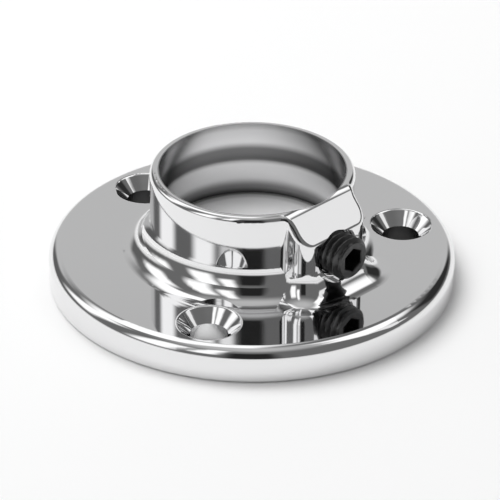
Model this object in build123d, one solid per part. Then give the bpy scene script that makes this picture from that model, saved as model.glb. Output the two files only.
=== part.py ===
from build123d import *
import os
from math import radians, sqrt, tan

# Tube clamp base flange: one chrome plated zinc casting and one set screw.
# Millimetres. +Z is the tube's axis, z = 0 is the mounting face, and the set screw points along +X.

# ---- tube socket and collar ----
tube_d = 25.0  # tube that the collar takes
tube_clearance = 0.1  # radial gap round the tube
collar_wall = 1.4
collar_top = 16.6  # height of the rim above the mounting face
rim_round = 0.8  # outer edge of the rim, and all round the top of the boss
rim_inner_round = 0.3
socket_floor = 5.7  # the tube stands on this floor
floor_wall = 2.1
lead_in_depth = 3.6  # the socket is a little wider down to here
lead_in_gap = 0.15  # extra radius of that wider stretch
lead_in_blend = 2.0  # height over which it narrows

# ---- base plate ----
base_d = 56.0
plate_top = 4.8
plate_wall = 2.0  # thickness of the plate
skirt_wall = 1.9  # thickness of the turned-down rim
skirt_round = 1.75
skirt_foot_chamfer = 0.25
hollow_round = 1.2  # inside corner between the plate and the skirt

# ---- foot of the collar ----
foot_reach = 3.9  # the flare runs this far out from the collar, onto the plate
foot_ring_out = 1.1  # crease of the flare, out from the collar
foot_ring_up = 1.9  # and above the plate
foot_flare_up = 4.4  # the collar is straight above this height over the plate

# ---- wood screw holes ----
hole_count = 3
hole_circle_d = 43.0
hole_d = 5.1
countersink_d = 8.6
countersink_angle = 90.0
countersink_lip = 0.4
hole_pad_wall = 2.2  # pads under the plate carry the wood screws through to the wall

# ---- clamping boss ----
boss_width = 12.6
boss_face = 16.1  # front face, from the tube's axis
boss_slope = 48.0  # fall of the boss's top, in degrees
boss_crown = 1.5  # round from the rim into that slope
boss_corner = 2.2  # upright front corners
boss_junction = 1.2  # hollow corner between the boss and the collar
boss_foot = 4.0  # flare from the boss onto the plate

# ---- set screw ----
screw_d = 6.0
screw_length = 6.0
screw_axis_z = 10.2
screw_clearance = 0.05  # radial gap in its hole
screw_proud = 3.0  # how far it is backed out of the boss
screw_chamfer = 0.55
hexagon_flats = 3.0
hexagon_depth = 3.0
drill_angle = 118.0  # point at the bottom of the hexagon
mouth_round = 0.6

bore_r = tube_d / 2 + tube_clearance
collar_r = bore_r + collar_wall
base_r = base_d / 2
plate_bottom = plate_top - plate_wall
sink = 1.0  # how deep a fused piece runs into what carries it


def casting_profile():
    """Half section of the casting without its boss, sealed underneath and with no socket."""
    ring = (collar_r + foot_ring_out, plate_top + foot_ring_up)
    collar_foot = (collar_r, plate_top + foot_flare_up)
    with BuildSketch(Plane.XZ) as sketch:
        with BuildLine():
            base = Polyline((0, 0), (base_r, 0), (base_r, plate_top - skirt_round))
            corner = RadiusArc(base @ 1, (base_r - skirt_round, plate_top), -skirt_round)
            plate = Line(corner @ 1, (collar_r + foot_reach, plate_top))
            TangentArc(plate @ 1, ring, tangent=(-1, 0))
            TangentArc(collar_foot, ring, tangent=(0, -1))
            Polyline(collar_foot, (collar_r, collar_top), (0, collar_top), base @ 0)
        make_face()
        foot = sketch.vertices().sort_by(lambda v: v.Y - v.X)[0]
        chamfer(foot, skirt_foot_chamfer)
    return sketch.sketch


def hollow_profile():
    """Half section of the hollow under the plate and under the socket's floor."""
    hollow_r = base_r - skirt_wall
    under_floor = socket_floor - floor_wall
    step = under_floor - plate_bottom
    with BuildSketch(Plane.XZ) as sketch:
        with BuildLine():
            Polyline(
                (0, 0),
                (hollow_r, 0),
                (hollow_r, plate_bottom),
                (bore_r + step, plate_bottom),
                (bore_r, under_floor),
                (0, under_floor),
                close=True,
            )
        make_face()
        corner = sketch.vertices().sort_by(lambda v: v.X + v.Y)[-1]
        fillet(corner, hollow_round)
    return sketch.sketch


def socket_profile():
    """Half section of the tube's socket: straight, with a slightly wider lead-in at the top."""
    wide = (bore_r + lead_in_gap, collar_top - lead_in_depth)
    narrow = (bore_r, wide[1] - lead_in_blend)
    with BuildSketch(Plane.XZ) as sketch:
        with BuildLine():
            Polyline((0, collar_top), (0, socket_floor), (bore_r, socket_floor), narrow)
            TangentArc(wide, narrow, tangent=(0, -1))
            Polyline(wide, (wide[0], collar_top), (0, collar_top))
        make_face()
    return sketch.sketch


def boss_outline():
    """Plan of the boss, from the tube's axis out to its face, with round front corners."""
    with BuildSketch() as sketch:
        with Locations((boss_face / 2, 0)):
            Rectangle(boss_face, boss_width)
        fillet(sketch.vertices().group_by(Axis.X)[-1], boss_corner)
    return sketch.sketch


def boss_and_collar():
    """The boss and the collar as one upright block, with a hollow corner each side of the boss."""
    with BuildSketch() as sketch:
        Circle(collar_r)
        add(boss_outline())
        junction_x = sqrt(collar_r**2 - (boss_width / 2) ** 2)
        junctions = sketch.vertices().filter_by_position(Axis.X, junction_x - 0.01, junction_x + 0.01)
        fillet(junctions, boss_junction)
    return Pos(0, 0, plate_top - sink) * extrude(sketch.sketch, amount=collar_top - plate_top + sink)


def boss_pedestal():
    """Lower part of the boss, flared onto a slab that lies flush in the plate."""
    slab_top = Plane.XY.offset(plate_top)
    margin = 2 * (boss_foot + sink)
    slab = slab_top * extrude(Rectangle(2 * boss_face + margin, boss_width + margin), amount=-sink)
    pedestal = slab + slab_top * extrude(boss_outline(), amount=boss_foot + sink)
    foot = pedestal.edges().filter_by_position(Axis.Z, plate_top, plate_top)
    outline = foot.filter_by(lambda e: e.center().X > sink and abs(e.center().Y) < boss_width / 2 + sink)
    pedestal = pedestal.fillet(boss_foot, outline.filter_by(lambda e: e.center().X < boss_face + sink))
    return pedestal


def above_boss():
    """What is cut away above the boss: level with the rim, then falling to the front face."""
    reach = boss_face + 2 * sink
    fall = (reach - bore_r) * tan(radians(boss_slope))
    with BuildSketch(Plane.XZ) as sketch:
        with BuildLine():
            Polyline(
                (0, collar_top),
                (bore_r, collar_top),
                (reach, collar_top - fall),
                (reach, collar_top + sink),
                (0, collar_top + sink),
                close=True,
            )
        make_face()
        fold = sketch.vertices().sort_by(lambda v: abs(v.X - bore_r) + abs(v.Y - collar_top))[0]
        fillet(fold, boss_crown)
    return extrude(sketch.sketch, amount=boss_width, both=True)


def hole_places():
    """Wood screw holes, evenly spaced, with one opposite the boss."""
    return PolarLocations(hole_circle_d / 2, hole_count, start_angle=180)


def wood_screw_hole():
    """One countersunk hole, with a round lip, standing on z = 0."""
    hole_r = hole_d / 2
    sink_r = countersink_d / 2
    sink_depth = (sink_r - hole_r) / tan(radians(countersink_angle / 2))
    with BuildSketch(Plane.XZ) as sketch:
        with BuildLine():
            Polyline(
                (0, -sink),
                (hole_r, -sink),
                (hole_r, plate_top - sink_depth),
                (sink_r, plate_top),
                (sink_r + sink, plate_top),
                (sink_r + sink, plate_top + sink),
                (0, plate_top + sink),
                close=True,
            )
        make_face()
        lip = sketch.vertices().sort_by(lambda v: abs(v.X - sink_r) + abs(v.Y - plate_top))[0]
        fillet(lip, countersink_lip)
    return revolve(sketch.sketch, Axis.Z)


def set_screw_hole():
    """Hole for the set screw, from the socket out through the boss."""
    hole_r = screw_d / 2 + screw_clearance
    with BuildSketch(Plane.XZ) as sketch:
        with BuildLine():
            Polyline(
                (bore_r - sink, screw_axis_z),
                (bore_r - sink, screw_axis_z + hole_r),
                (boss_face, screw_axis_z + hole_r),
                (boss_face, screw_axis_z + hole_r + sink),
                (boss_face + sink, screw_axis_z + hole_r + sink),
                (boss_face + sink, screw_axis_z),
                close=True,
            )
        make_face()
        mouth = sketch.vertices().sort_by(lambda v: abs(v.X - boss_face) + abs(v.Y - screw_axis_z - hole_r))[0]
        fillet(mouth, mouth_round)
    return revolve(sketch.sketch, Axis((0, 0, screw_axis_z), (1, 0, 0)))


def flange_body():
    """The casting."""
    casting = revolve(casting_profile(), Axis.Z) + boss_pedestal() + boss_and_collar() - above_boss()
    rim = casting.edges().filter_by(GeomType.CIRCLE).group_by(Axis.Z)[-1]
    casting = casting.fillet(rim_round, rim)
    pad = Cylinder(hole_d / 2 + hole_pad_wall, plate_bottom + sink, align=(Align.CENTER, Align.CENTER, Align.MIN))
    hollow = revolve(hollow_profile(), Axis.Z) - [place * pad for place in hole_places()]
    casting = casting - hollow - revolve(socket_profile(), Axis.Z) - set_screw_hole()
    casting = casting - [place * wood_screw_hole() for place in hole_places()]
    return casting


def grub_screw():
    """Set screw with a hexagon socket, its outer end standing proud of the boss."""
    outer_end = boss_face + screw_proud
    shank = extrude(Circle(screw_d / 2), amount=screw_length)
    shank = chamfer(shank.edges().filter_by(GeomType.CIRCLE), screw_chamfer)
    hexagon = extrude(RegularPolygon(hexagon_flats / 2, 6, major_radius=False), amount=-hexagon_depth)
    point_r = hexagon_flats / 2
    point_height = point_r / tan(radians(drill_angle / 2))
    point = Cone(0, point_r, point_height, align=(Align.CENTER, Align.CENTER, Align.MAX))
    recess = Pos(0, 0, screw_length) * (hexagon + Pos(0, 0, -hexagon_depth) * point)
    screw = shank - recess
    return Plane(origin=(outer_end - screw_length, 0, screw_axis_z), z_dir=(1, 0, 0)) * screw


os.makedirs("parts", exist_ok=True)
export_step(flange_body(), "parts/flange_body.step")
export_step(grub_screw(), "parts/grub_screw.step")
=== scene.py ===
import math

import bpy
from mathutils import Matrix, Vector


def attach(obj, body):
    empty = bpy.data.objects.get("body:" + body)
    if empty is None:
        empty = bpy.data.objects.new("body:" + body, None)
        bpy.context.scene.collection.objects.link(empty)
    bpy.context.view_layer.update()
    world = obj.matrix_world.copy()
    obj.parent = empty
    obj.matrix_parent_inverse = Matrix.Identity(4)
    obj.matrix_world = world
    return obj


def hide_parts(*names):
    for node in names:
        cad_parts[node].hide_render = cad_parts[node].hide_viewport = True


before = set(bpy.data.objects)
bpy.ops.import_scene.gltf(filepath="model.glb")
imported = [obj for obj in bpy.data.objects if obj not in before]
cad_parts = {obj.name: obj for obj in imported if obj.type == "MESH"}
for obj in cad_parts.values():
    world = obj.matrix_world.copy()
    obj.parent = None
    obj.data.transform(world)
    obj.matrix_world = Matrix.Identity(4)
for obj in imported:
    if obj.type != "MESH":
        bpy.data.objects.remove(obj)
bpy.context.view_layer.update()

MM = 0.001
FRAME_TURN = math.radians(45)  # the object's frame, turned from the camera's own

# ---- camera ----
CAMERA_BACK = 356.6 * MM
CAMERA_UP = 213.6 * MM
CAMERA_PITCH = math.radians(30.48)
CAMERA_YAW = math.radians(-0.04)
CAMERA_ROLL = math.radians(0.46)
SENSOR = 36.0
LENS = 216.0

# ---- set screw ----
SCREW_R = 3.0 * MM
SCREW_LENGTH = 6.0 * MM
THREAD_PITCH = 1.0 * MM
THREAD_DEPTH = 0.55 * MM
SCREW_CHAMFER = 0.55 * MM
HEXAGON_R = 1.5 * MM
HEXAGON_DEPTH = 3.0 * MM
SCREW_END_X = 19.1 * MM
SCREW_Z = 10.2 * MM
THREAD_FLAT = 0.12  # share of a half pitch that is flat at the crest and at the root
THREAD_SHARP = math.radians(35)
HEXAGON_CHAMFER = 0.12 * MM
HEXAGON_POINT_DEPTH = 0.6 * MM
HEXAGON_POINT_R = 0.2 * MM
SCREW_AROUND = 96
ROWS_PER_PITCH = 14

# ---- chrome ----
CHROME_TONE = 0.82
CHROME_ROUGHNESS = 0.035
CHROME_WAVINESS = 0.03
CHROME_NOISE_SCALE = 260
TINT = 1.006  # blue over red in every grey

# ---- satin inside of the socket; painted light: the wall's tones by height are painted reflection bands with painted shade near the floor, the floor's tones by radius are painted shade, darker towards the wall ----
SATIN_R = 12.9 * MM
SATIN_LOW = 5.5 * MM
SATIN_FLOOR = 5.8 * MM
SATIN_TOP = 16.6 * MM
SATIN_WALL_ROUGHNESS = 0.13
SATIN_FLOOR_ROUGHNESS = 0.5
WALL_MATT = 0.06
FLOOR_MATT = 0.7
# painted reflection bands and painted shade near the floor, by height on the socket wall
WALL_PAINTED_LIGHT_TONES = (
    (0.34, 0.1),
    (0.41, 0.3),
    (0.5, 0.85),
    (0.62, 0.78),
    (0.68, 0.17),
    (0.76, 0.2),
    (0.84, 0.82),
    (0.93, 0.75),
    (1.0, 0.45),
)
# painted shade, by radius on the socket floor: darker towards the wall
FLOOR_PAINTED_SHADE_TONES = ((0.0, 0.98), (0.84, 0.97), (0.92, 0.7), (0.97, 0.25))

# ---- wood screw holes with painted shade inside: their lower part is darkened ----
HOLE_ANGLES = (60, 180)
HOLE_CIRCLE_R = 21.5 * MM
HOLE_DARK_R = 2.65 * MM
HOLE_DARK_Z = 3.0 * MM
HOLE_PAINTED_SHADE_TONE = 0.1
HOLE_ROUGHNESS = 0.4

# ---- black steel ----
BLACK_TONES = {"A": (0.055, 0.055, 0.056, 1), "B": (0.12, 0.12, 0.12, 1)}
BLACK_NOISE_SCALE = 900
BLACK_ROUGHNESS = 0.38

# ---- stage ----
FLOOR_HALF = 1.5
FLOOR_GAP = 0.02 * MM  # the floor lies this far under the part
FLOOR_TONE = (0.93, 0.93, 0.93, 1)
LAMP_POWER = 5.8
LAMP_SIZE = 0.7
LAMP_DISTANCE = 0.9
LAMP_AZIMUTH = 140
LAMP_ELEVATION = 62

# ---- studio surroundings: azimuth, half width, lowest, highest, softness, level ----
WALL_LEVEL = 0.16
CEILING_LEVEL = 0.55
TABLE_LEVEL = 0.92
PATCHES = (
    (92, 32, -30, 36, 6, 0.56),
    (142, 24, 0, 26, 5, 0.13),
    (118, 32, 44, 74, 5, 1.25),
    (158, 14, 20, 52, 6, 1.25),
    (28, 36, 46, 70, 5, 1.25),
    (42, 20, 14, 40, 5, 0.03),
    (-118, 8, 30, 68, 5, 1.25),
    (-146, 13, 16, 58, 6, 1.25),
    (-90, 14, 8, 52, 5, 0.02),
    (1.5, 7, 28, 50, 2, 0.95),
)


def direction(azimuth, elevation):
    """Unit vector: azimuth 0 is the camera's right, 90 is away from the camera."""
    a = math.radians(azimuth) + FRAME_TURN
    e = math.radians(elevation)
    return (math.cos(a) * math.cos(e), math.sin(a) * math.cos(e), math.sin(e))


def calc(tree, operation, a, b):
    """Maths node on numbers or on other nodes' outputs."""
    node = tree.nodes.new("ShaderNodeMath")
    node.operation = operation
    for socket, value in zip(node.inputs, (a, b)):
        if isinstance(value, (int, float)):
            socket.default_value = value
        else:
            tree.links.new(value, socket)
    return node.outputs[0]


def grey(tone):
    return (tone, tone, tone * TINT, 1)


def add_camera():
    data = bpy.data.cameras.new("camera")
    cam = bpy.data.objects.new("camera", data)
    bpy.context.scene.collection.objects.link(cam)
    pitch, yaw, roll = CAMERA_PITCH, CAMERA_YAW, CAMERA_ROLL
    level = math.cos(pitch)
    forward = Vector((math.sin(yaw) * level, math.cos(yaw) * level, -math.sin(pitch)))
    right = Vector((math.cos(yaw), -math.sin(yaw), 0))
    up = right.cross(forward)
    right, up = (
        right * math.cos(roll) + up * math.sin(roll),
        up * math.cos(roll) - right * math.sin(roll),
    )
    m = Matrix((right, up, -forward)).transposed().to_4x4()
    m.translation = (0, -CAMERA_BACK, CAMERA_UP)
    cam.matrix_world = Matrix.Rotation(FRAME_TURN, 4, "Z") @ m
    data.sensor_width = SENSOR
    data.lens = LENS
    data.clip_start = 0.01
    data.clip_end = 20
    bpy.context.scene.camera = cam


def new_material(name):
    material = bpy.data.materials.new(name)
    material.use_nodes = True
    return material, material.node_tree, material.node_tree.nodes["Principled BSDF"]


class ChromeNodes:
    """Nodes of the chrome material, by place on the part."""

    def __init__(self, tree):
        self.tree = tree
        self.coords = tree.nodes.new("ShaderNodeTexCoord").outputs["Object"]
        split = tree.nodes.new("ShaderNodeSeparateXYZ")
        tree.links.new(self.coords, split.inputs[0])
        self.x, self.y, self.z = (split.outputs[name] for name in "XYZ")

    def calc(self, operation, a, b):
        return calc(self.tree, operation, a, b)

    def noise(self):
        node = self.tree.nodes.new("ShaderNodeTexNoise")
        node.inputs["Scale"].default_value = CHROME_NOISE_SCALE
        node.inputs["Detail"].default_value = 2
        self.tree.links.new(self.coords, node.inputs["Vector"])
        return node.outputs["Fac"]

    def ramp(self, value, stops):
        node = self.tree.nodes.new("ShaderNodeValToRGB")
        node.color_ramp.interpolation = "EASE"
        self.tree.links.new(value, node.inputs["Fac"])
        elements = node.color_ramp.elements
        elements.remove(elements[-1])
        for i, (place, tone) in enumerate(stops):
            element = elements[0] if i == 0 else elements.new(place)
            element.position = place
            element.color = grey(tone)
        return node.outputs["Color"]

    def mixed(self, factor, a, b):
        node = self.tree.nodes.new("ShaderNodeMix")
        node.data_type = "RGBA"
        self.tree.links.new(factor, node.inputs["Factor"])
        for name, value in (("A", a), ("B", b)):
            if isinstance(value, float):
                node.inputs[name].default_value = grey(value)
            else:
                self.tree.links.new(value, node.inputs[name])
        return node.outputs["Result"]

    def radius(self, centre_x=0.0, centre_y=0.0):
        x = self.calc("POWER", self.calc("SUBTRACT", self.x, centre_x), 2)
        y = self.calc("POWER", self.calc("SUBTRACT", self.y, centre_y), 2)
        return self.calc("SQRT", self.calc("ADD", x, y), 0)

    def below(self, value, limit):
        return self.calc("LESS_THAN", value, limit)

    def both(self, a, b):
        return self.calc("MULTIPLY", a, b)

    def painted_shade_hole(self, angle):
        """Mask of the lower part of the wood screw hole at this angle, where shade is painted.
        """
        turn = math.radians(angle)
        from_hole = self.radius(HOLE_CIRCLE_R * math.cos(turn), HOLE_CIRCLE_R * math.sin(turn))
        return self.both(self.below(from_hole, HOLE_DARK_R), self.below(self.z, HOLE_DARK_Z))


def chrome():
    """Bright chrome, satin in the socket with painted reflection bands and painted shade, and
    painted shade in two of the wood screw holes.
    """
    material, tree, shader = new_material("chrome")
    nodes = ChromeNodes(tree)
    from_axis = nodes.radius()
    raised = nodes.calc("GREATER_THAN", nodes.z, SATIN_LOW)
    inside = nodes.both(nodes.below(from_axis, SATIN_R), raised)
    floor = nodes.both(inside, nodes.below(nodes.z, SATIN_FLOOR))
    # painted light: the wall's tones by height are painted reflection bands, with painted
    # shade near the floor
    painted_wall_light = nodes.ramp(nodes.calc("DIVIDE", nodes.z, SATIN_TOP), WALL_PAINTED_LIGHT_TONES)
    # painted shade: the floor's tones by radius darken towards the wall
    painted_floor_shade = nodes.ramp(nodes.calc("DIVIDE", from_axis, SATIN_R), FLOOR_PAINTED_SHADE_TONES)
    color = nodes.mixed(inside, CHROME_TONE, painted_wall_light)
    color = nodes.mixed(floor, color, painted_floor_shade)
    rough = nodes.calc("ADD", CHROME_ROUGHNESS, nodes.both(nodes.noise(), CHROME_WAVINESS))
    rough = nodes.calc("ADD", rough, nodes.both(inside, SATIN_WALL_ROUGHNESS))
    rough = nodes.calc("ADD", rough, nodes.both(floor, SATIN_FLOOR_ROUGHNESS))
    for angle in HOLE_ANGLES:
        # painted shade: the lower part of two wood screw holes is darkened
        hole_shade_mask = nodes.painted_shade_hole(angle)
        color = nodes.mixed(hole_shade_mask, color, HOLE_PAINTED_SHADE_TONE)
        rough = nodes.calc("ADD", rough, nodes.both(hole_shade_mask, HOLE_ROUGHNESS))
    metal = nodes.calc("SUBTRACT", 1.0, nodes.both(inside, WALL_MATT))
    metal = nodes.calc("SUBTRACT", metal, nodes.both(floor, FLOOR_MATT))
    tree.links.new(metal, shader.inputs["Metallic"])
    tree.links.new(color, shader.inputs["Base Color"])
    tree.links.new(rough, shader.inputs["Roughness"])
    return material


def black_steel():
    material, tree, shader = new_material("black_oxide")
    shader.inputs["Metallic"].default_value = 1
    coords = tree.nodes.new("ShaderNodeTexCoord")
    noise = tree.nodes.new("ShaderNodeTexNoise")
    noise.inputs["Scale"].default_value = BLACK_NOISE_SCALE
    tree.links.new(coords.outputs["Object"], noise.inputs["Vector"])
    tone = tree.nodes.new("ShaderNodeMix")
    tone.data_type = "RGBA"
    for name, value in BLACK_TONES.items():
        tone.inputs[name].default_value = value
    tree.links.new(noise.outputs["Fac"], tone.inputs["Factor"])
    tree.links.new(tone.outputs["Result"], shader.inputs["Base Color"])
    shader.inputs["Roughness"].default_value = BLACK_ROUGHNESS
    return material


def thread_radius(turn):
    """Radius of the thread's surface, at a number of turns along the helix."""
    t = abs((turn % 1.0) - 0.5) * 2
    t = min(max((t - THREAD_FLAT) / (1 - 2 * THREAD_FLAT), 0.0), 1.0)
    return SCREW_R - THREAD_DEPTH * t


def hexagon_radius(t):
    side = math.radians(60)
    return HEXAGON_R / math.cos((t + side / 2) % side - side / 2)


def shank_radius(x, t):
    """Radius of the chamfered, threaded shank; x runs from minus the length to 0."""
    from_end = min(-x, x + SCREW_LENGTH)
    thread = thread_radius(x / THREAD_PITCH + t / (2 * math.pi))
    return min(thread, SCREW_R - SCREW_CHAMFER + from_end)


def screw_rings():
    """Rings of points, from the inner end out and then down into the hexagon."""
    turns = [2 * math.pi * i / SCREW_AROUND for i in range(SCREW_AROUND)]

    def ring(x, radius):
        return [(x, radius(t) * math.cos(t), radius(t) * math.sin(t)) for t in turns]

    rows = int(SCREW_LENGTH / THREAD_PITCH * ROWS_PER_PITCH)
    for row in range(rows + 1):
        x = -SCREW_LENGTH + row * SCREW_LENGTH / rows
        yield ring(x, lambda t, x=x: shank_radius(x, t))
    yield ring(0.0, lambda t: hexagon_radius(t) + HEXAGON_CHAMFER)
    yield ring(-HEXAGON_CHAMFER, hexagon_radius)
    yield ring(-HEXAGON_DEPTH, hexagon_radius)
    yield ring(-HEXAGON_DEPTH - HEXAGON_POINT_DEPTH, lambda t: HEXAGON_POINT_R)


def screw_mesh():
    verts, faces = [], [tuple(reversed(range(SCREW_AROUND)))]
    for points in screw_rings():
        start = len(verts)
        verts.extend((x + SCREW_END_X, y, z + SCREW_Z) for x, y, z in points)
        last = start - SCREW_AROUND
        for i in range(SCREW_AROUND if start else 0):
            j = (i + 1) % SCREW_AROUND
            faces.append((last + i, last + j, start + j, start + i))
    faces.append(tuple(start + i for i in range(SCREW_AROUND)))
    mesh = bpy.data.meshes.new("set_screw")
    mesh.from_pydata(verts, [], faces)
    mesh.validate()
    mesh.materials.append(black_steel())
    for polygon in mesh.polygons:
        polygon.use_smooth = True
    mesh.set_sharp_from_angle(angle=THREAD_SHARP)
    return mesh


def set_screw():
    screw = bpy.data.objects.new("set_screw", screw_mesh())
    bpy.context.scene.collection.objects.link(screw)
    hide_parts("grub_screw")
    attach(screw, "screw")


def add_floor():
    corners = ((-1, -1), (1, -1), (1, 1), (-1, 1))
    mesh = bpy.data.meshes.new("floor")
    verts = [(x * FLOOR_HALF, y * FLOOR_HALF, -FLOOR_GAP) for x, y in corners]
    mesh.from_pydata(verts, [], [(0, 1, 2, 3)])
    floor = bpy.data.objects.new("floor", mesh)
    bpy.context.scene.collection.objects.link(floor)
    material, _, shader = new_material("table")
    shader.inputs["Base Color"].default_value = FLOOR_TONE
    shader.inputs["Roughness"].default_value = 0.9
    shader.inputs["Specular IOR Level"].default_value = 0
    mesh.materials.append(material)


class WorldLight:
    """Soft studio surroundings, described by the direction that they lie in."""

    def __init__(self):
        world = bpy.data.worlds.new("world")
        bpy.context.scene.world = world
        world.use_nodes = True
        self.tree = world.node_tree
        self.tree.nodes.clear()
        self.coords = self.tree.nodes.new("ShaderNodeTexCoord")
        height = self.toward((0, 0, 1))
        self.elevation = self.degrees(self.calc("ARCSINE", height, 0))

    def calc(self, operation, a, b):
        return calc(self.tree, operation, a, b)

    def degrees(self, angle):
        return self.calc("MULTIPLY", angle, 180 / math.pi)

    def toward(self, way):
        node = self.tree.nodes.new("ShaderNodeVectorMath")
        node.operation = "DOT_PRODUCT"
        self.tree.links.new(self.coords.outputs["Generated"], node.inputs[0])
        node.inputs[1].default_value = way
        return node.outputs["Value"]

    def ramp(self, value, low, high, at_low=0.0, at_high=1.0):
        node = self.tree.nodes.new("ShaderNodeMapRange")
        node.interpolation_type = "SMOOTHSTEP"
        self.tree.links.new(value, node.inputs["Value"])
        node.inputs["From Min"].default_value = low
        node.inputs["From Max"].default_value = high
        node.inputs["To Min"].default_value = at_low
        node.inputs["To Max"].default_value = at_high
        return node.outputs[0]

    def patch(self, azimuth, half_width, low, high, soft):
        """Mask that is 1 inside a patch of sky, with a soft edge."""
        ahead = self.toward(direction(azimuth, 0))
        beside = self.toward(direction(azimuth + 90, 0))
        off = self.degrees(self.calc("ABSOLUTE", self.calc("ARCTAN2", beside, ahead), 0))
        wide = self.ramp(off, half_width - soft, half_width + soft, 1.0, 0.0)
        middle = self.calc("SUBTRACT", self.elevation, (low + high) / 2)
        half_height = (high - low) / 2
        middle = self.calc("ABSOLUTE", middle, 0)
        tall = self.ramp(middle, half_height - soft, half_height + soft, 1.0, 0.0)
        return self.calc("MULTIPLY", wide, tall)

    def mix(self, level, other, mask):
        node = self.tree.nodes.new("ShaderNodeMix")
        for name, value in (("Factor", mask), ("A", level), ("B", other)):
            if isinstance(value, (int, float)):
                node.inputs[name].default_value = value
            else:
                self.tree.links.new(value, node.inputs[name])
        return node.outputs["Result"]

    def finish(self, level):
        tree = self.tree
        light = tree.nodes.new("ShaderNodeBackground")
        tree.links.new(level, light.inputs["Color"])
        backdrop = tree.nodes.new("ShaderNodeBackground")
        backdrop.inputs["Color"].default_value = (1, 1, 1, 1)
        path = tree.nodes.new("ShaderNodeLightPath")
        mix = tree.nodes.new("ShaderNodeMixShader")
        out = tree.nodes.new("ShaderNodeOutputWorld")
        tree.links.new(path.outputs["Is Camera Ray"], mix.inputs[0])
        tree.links.new(light.outputs[0], mix.inputs[1])
        tree.links.new(backdrop.outputs[0], mix.inputs[2])
        tree.links.new(mix.outputs[0], out.inputs[0])


def add_world():
    world = WorldLight()
    level = world.ramp(world.elevation, 55, 85, WALL_LEVEL, CEILING_LEVEL)
    for azimuth, half_width, low, high, soft, strength in PATCHES:
        level = world.mix(level, strength, world.patch(azimuth, half_width, low, high, soft))
    table = world.ramp(world.elevation, 2, 10, 1.0, 0.0)
    world.finish(world.mix(level, TABLE_LEVEL, table))


def add_lamp():
    light = bpy.data.lights.new("softbox", "AREA")
    light.energy = LAMP_POWER
    light.size = LAMP_SIZE
    lamp = bpy.data.objects.new("softbox", light)
    bpy.context.scene.collection.objects.link(lamp)
    toward = Vector(direction(LAMP_AZIMUTH, LAMP_ELEVATION))
    lamp.location = toward * LAMP_DISTANCE
    lamp.rotation_euler = toward.to_track_quat("Z", "Y").to_euler()
    lamp.visible_glossy = False


def dress(node, material):
    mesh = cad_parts[node].data
    mesh.materials.clear()
    mesh.materials.append(material)


dress("flange_body", chrome())
set_screw()
add_floor()
add_world()
add_lamp()
add_camera()
bpy.context.scene.view_settings.view_transform = "Standard"
